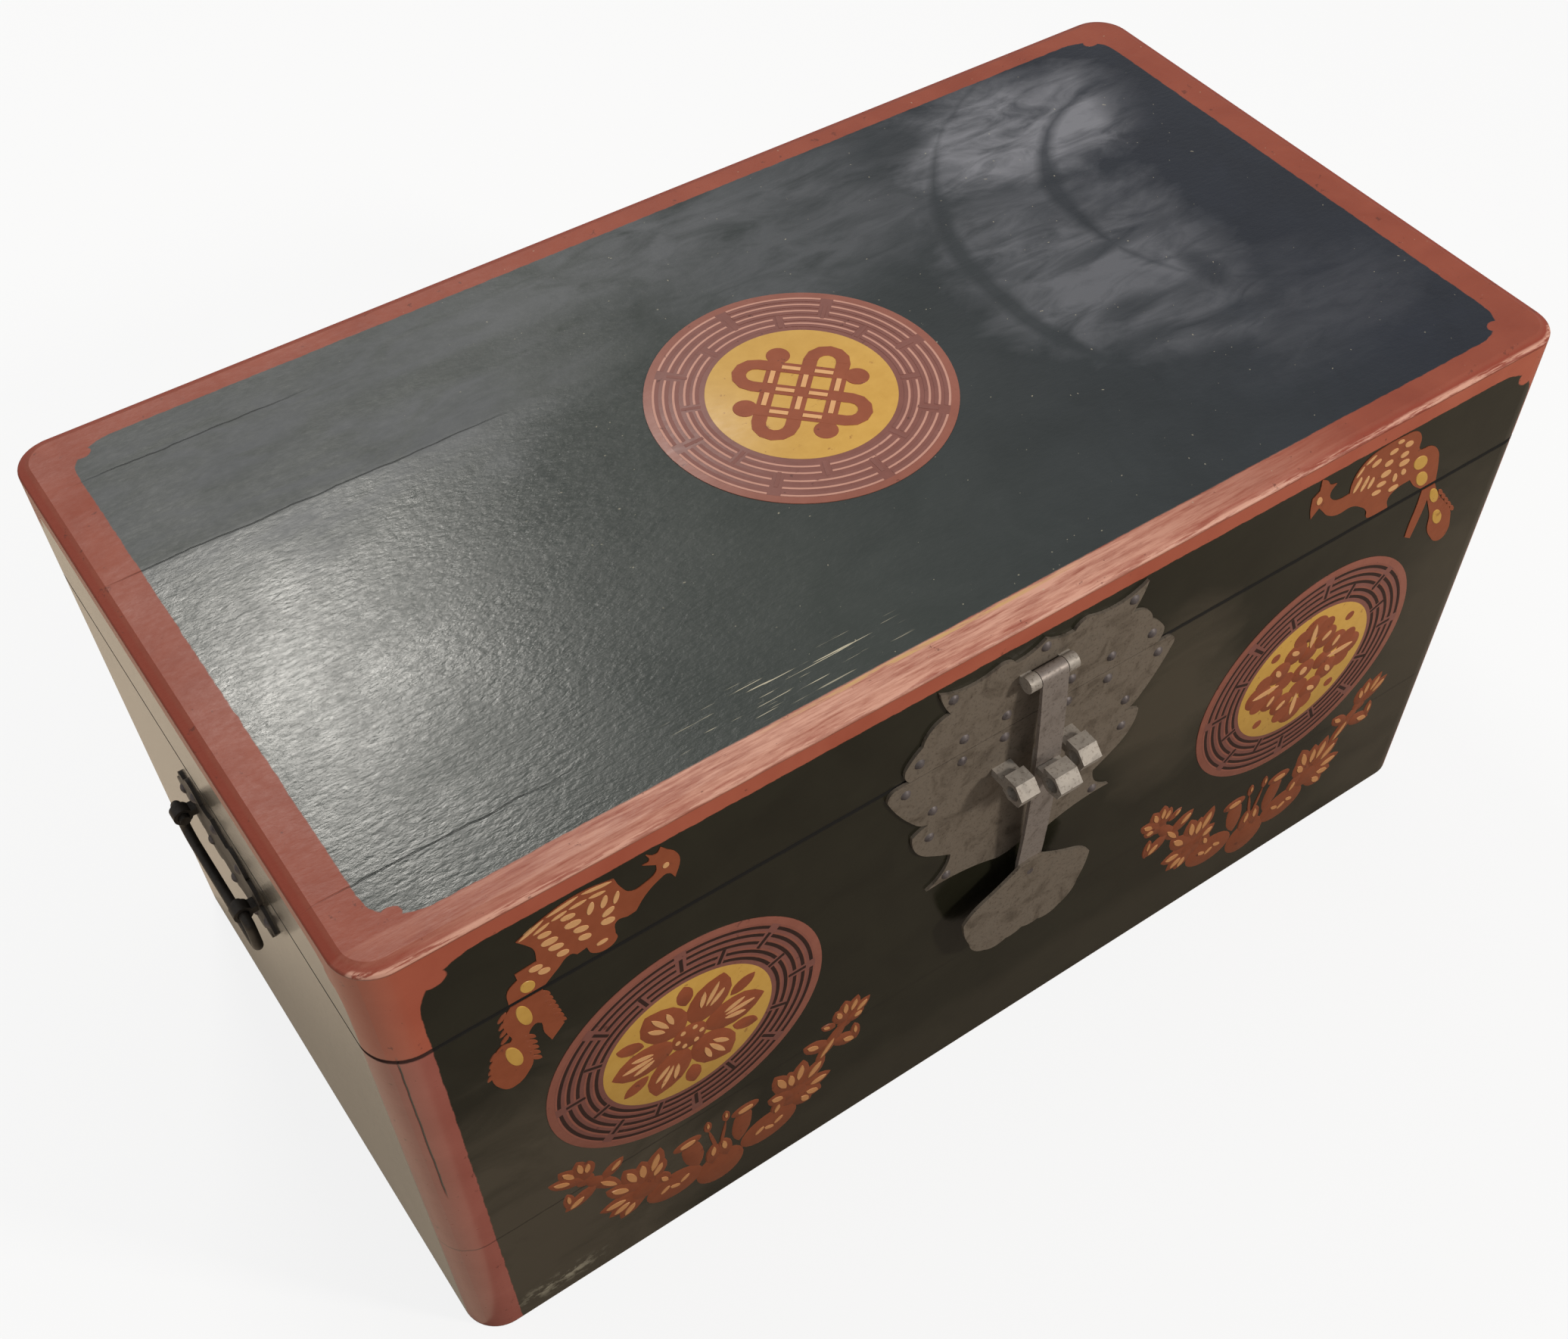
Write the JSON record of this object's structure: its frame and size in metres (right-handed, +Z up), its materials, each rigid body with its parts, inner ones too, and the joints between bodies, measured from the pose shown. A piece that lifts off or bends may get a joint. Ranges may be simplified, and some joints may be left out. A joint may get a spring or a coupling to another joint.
{
  "type": "painted chest",
  "caption": "Lacquered wooden chest with a hinged flat lid, scalloped iron lock plate with a swinging hasp and padlock eyes, and drop handles on the ends.",
  "frame": {"origin": "centre of the underside of the box", "axes": "+X along the length to the right of the front, +Y to the back, +Z up"},
  "size_m": [0.6862, 0.3913, 0.342],
  "materials": {
    "lacquered_wood": "dark lacquer with red borders, worn and crazed",
    "bare_wood": "bare aged planks",
    "aged_iron": "hammered sheet iron with a brown patina",
    "worn_iron": "handled iron strip, worn bright",
    "red_lacquer": "incised red lacquer relief",
    "gold_lacquer": "worn gold lacquer"
  },
  "bodies": {
    "box": {"bottom_plank_front": "bare_wood", "bottom_plank_middle": "bare_wood", "bottom_plank_rear": "bare_wood", "box_back_lower": "lacquered_wood", "box_back_upper": "lacquered_wood", "box_front_lower": "lacquered_wood", "box_front_upper": "lacquered_wood", "box_left_lower": "lacquered_wood", "box_left_upper": "lacquered_wood", "box_right_lower": "lacquered_wood", "box_right_upper": "lacquered_wood", "handle_left_nails": "worn_iron", "handle_left_plate": "aged_iron", "handle_left_post_front": "worn_iron", "handle_left_post_rear": "worn_iron", "handle_right_nails": "worn_iron", "handle_right_plate": "aged_iron", "handle_right_post_front": "worn_iron", "handle_right_post_rear": "worn_iron", "hinge_box_nails": "worn_iron", "hinge_left_box_leaf": "aged_iron", "hinge_left_pin": "worn_iron", "hinge_right_box_leaf": "aged_iron", "hinge_right_pin": "worn_iron", "lock_eye_left": "worn_iron", "lock_eye_right": "worn_iron", "lock_plate_lower": "aged_iron", "lock_plate_lower_nails": "worn_iron"},
    "lid": {"hasp_hinge_eye_left": "worn_iron", "hasp_hinge_eye_right": "worn_iron", "hasp_hinge_pin": "worn_iron", "hinge_left_lid_leaf": "aged_iron", "hinge_lid_nails": "worn_iron", "hinge_right_lid_leaf": "aged_iron", "lid_back_rail": "lacquered_wood", "lid_front_rail": "lacquered_wood", "lid_left_rail": "lacquered_wood", "lid_right_rail": "lacquered_wood", "lid_top_plank_back": "lacquered_wood", "lid_top_plank_front": "lacquered_wood", "lid_top_plank_middle": "lacquered_wood", "lid_top_plank_rear": "lacquered_wood", "lock_plate_upper": "aged_iron", "lock_plate_upper_nails": "worn_iron"},
    "hasp": {"hasp_strap": "worn_iron", "hasp_eye": "worn_iron", "pull_leaf": "aged_iron", "pull_leaf_rivet": "worn_iron"},
    "left_bail": {"handle_left_bail": "worn_iron"},
    "right_bail": {"handle_right_bail": "worn_iron"}
  },
  "joints": [
    {"name": "lid_hinge", "type": "hinge", "parent": "box", "child": "lid", "pos_m": [0, 0.1803, 0.277], "axis": [-1, 0, 0], "range_deg": [0, 105]},
    {"name": "hasp_swing", "type": "hinge", "parent": "lid", "child": "hasp", "pos_m": [0, -0.1822, 0.308], "axis": [-1, 0, 0], "range_deg": [-1, 150]},
    {"name": "left_bail_swing", "type": "hinge", "parent": "box", "child": "left_bail", "pos_m": [-0.3385, -0.006, 0.235], "axis": [0, 1, 0], "range_deg": [-5, 170]},
    {"name": "right_bail_swing", "type": "hinge", "parent": "box", "child": "right_bail", "pos_m": [0.3385, -0.006, 0.235], "axis": [0, -1, 0], "range_deg": [-5, 170]}
  ]
}
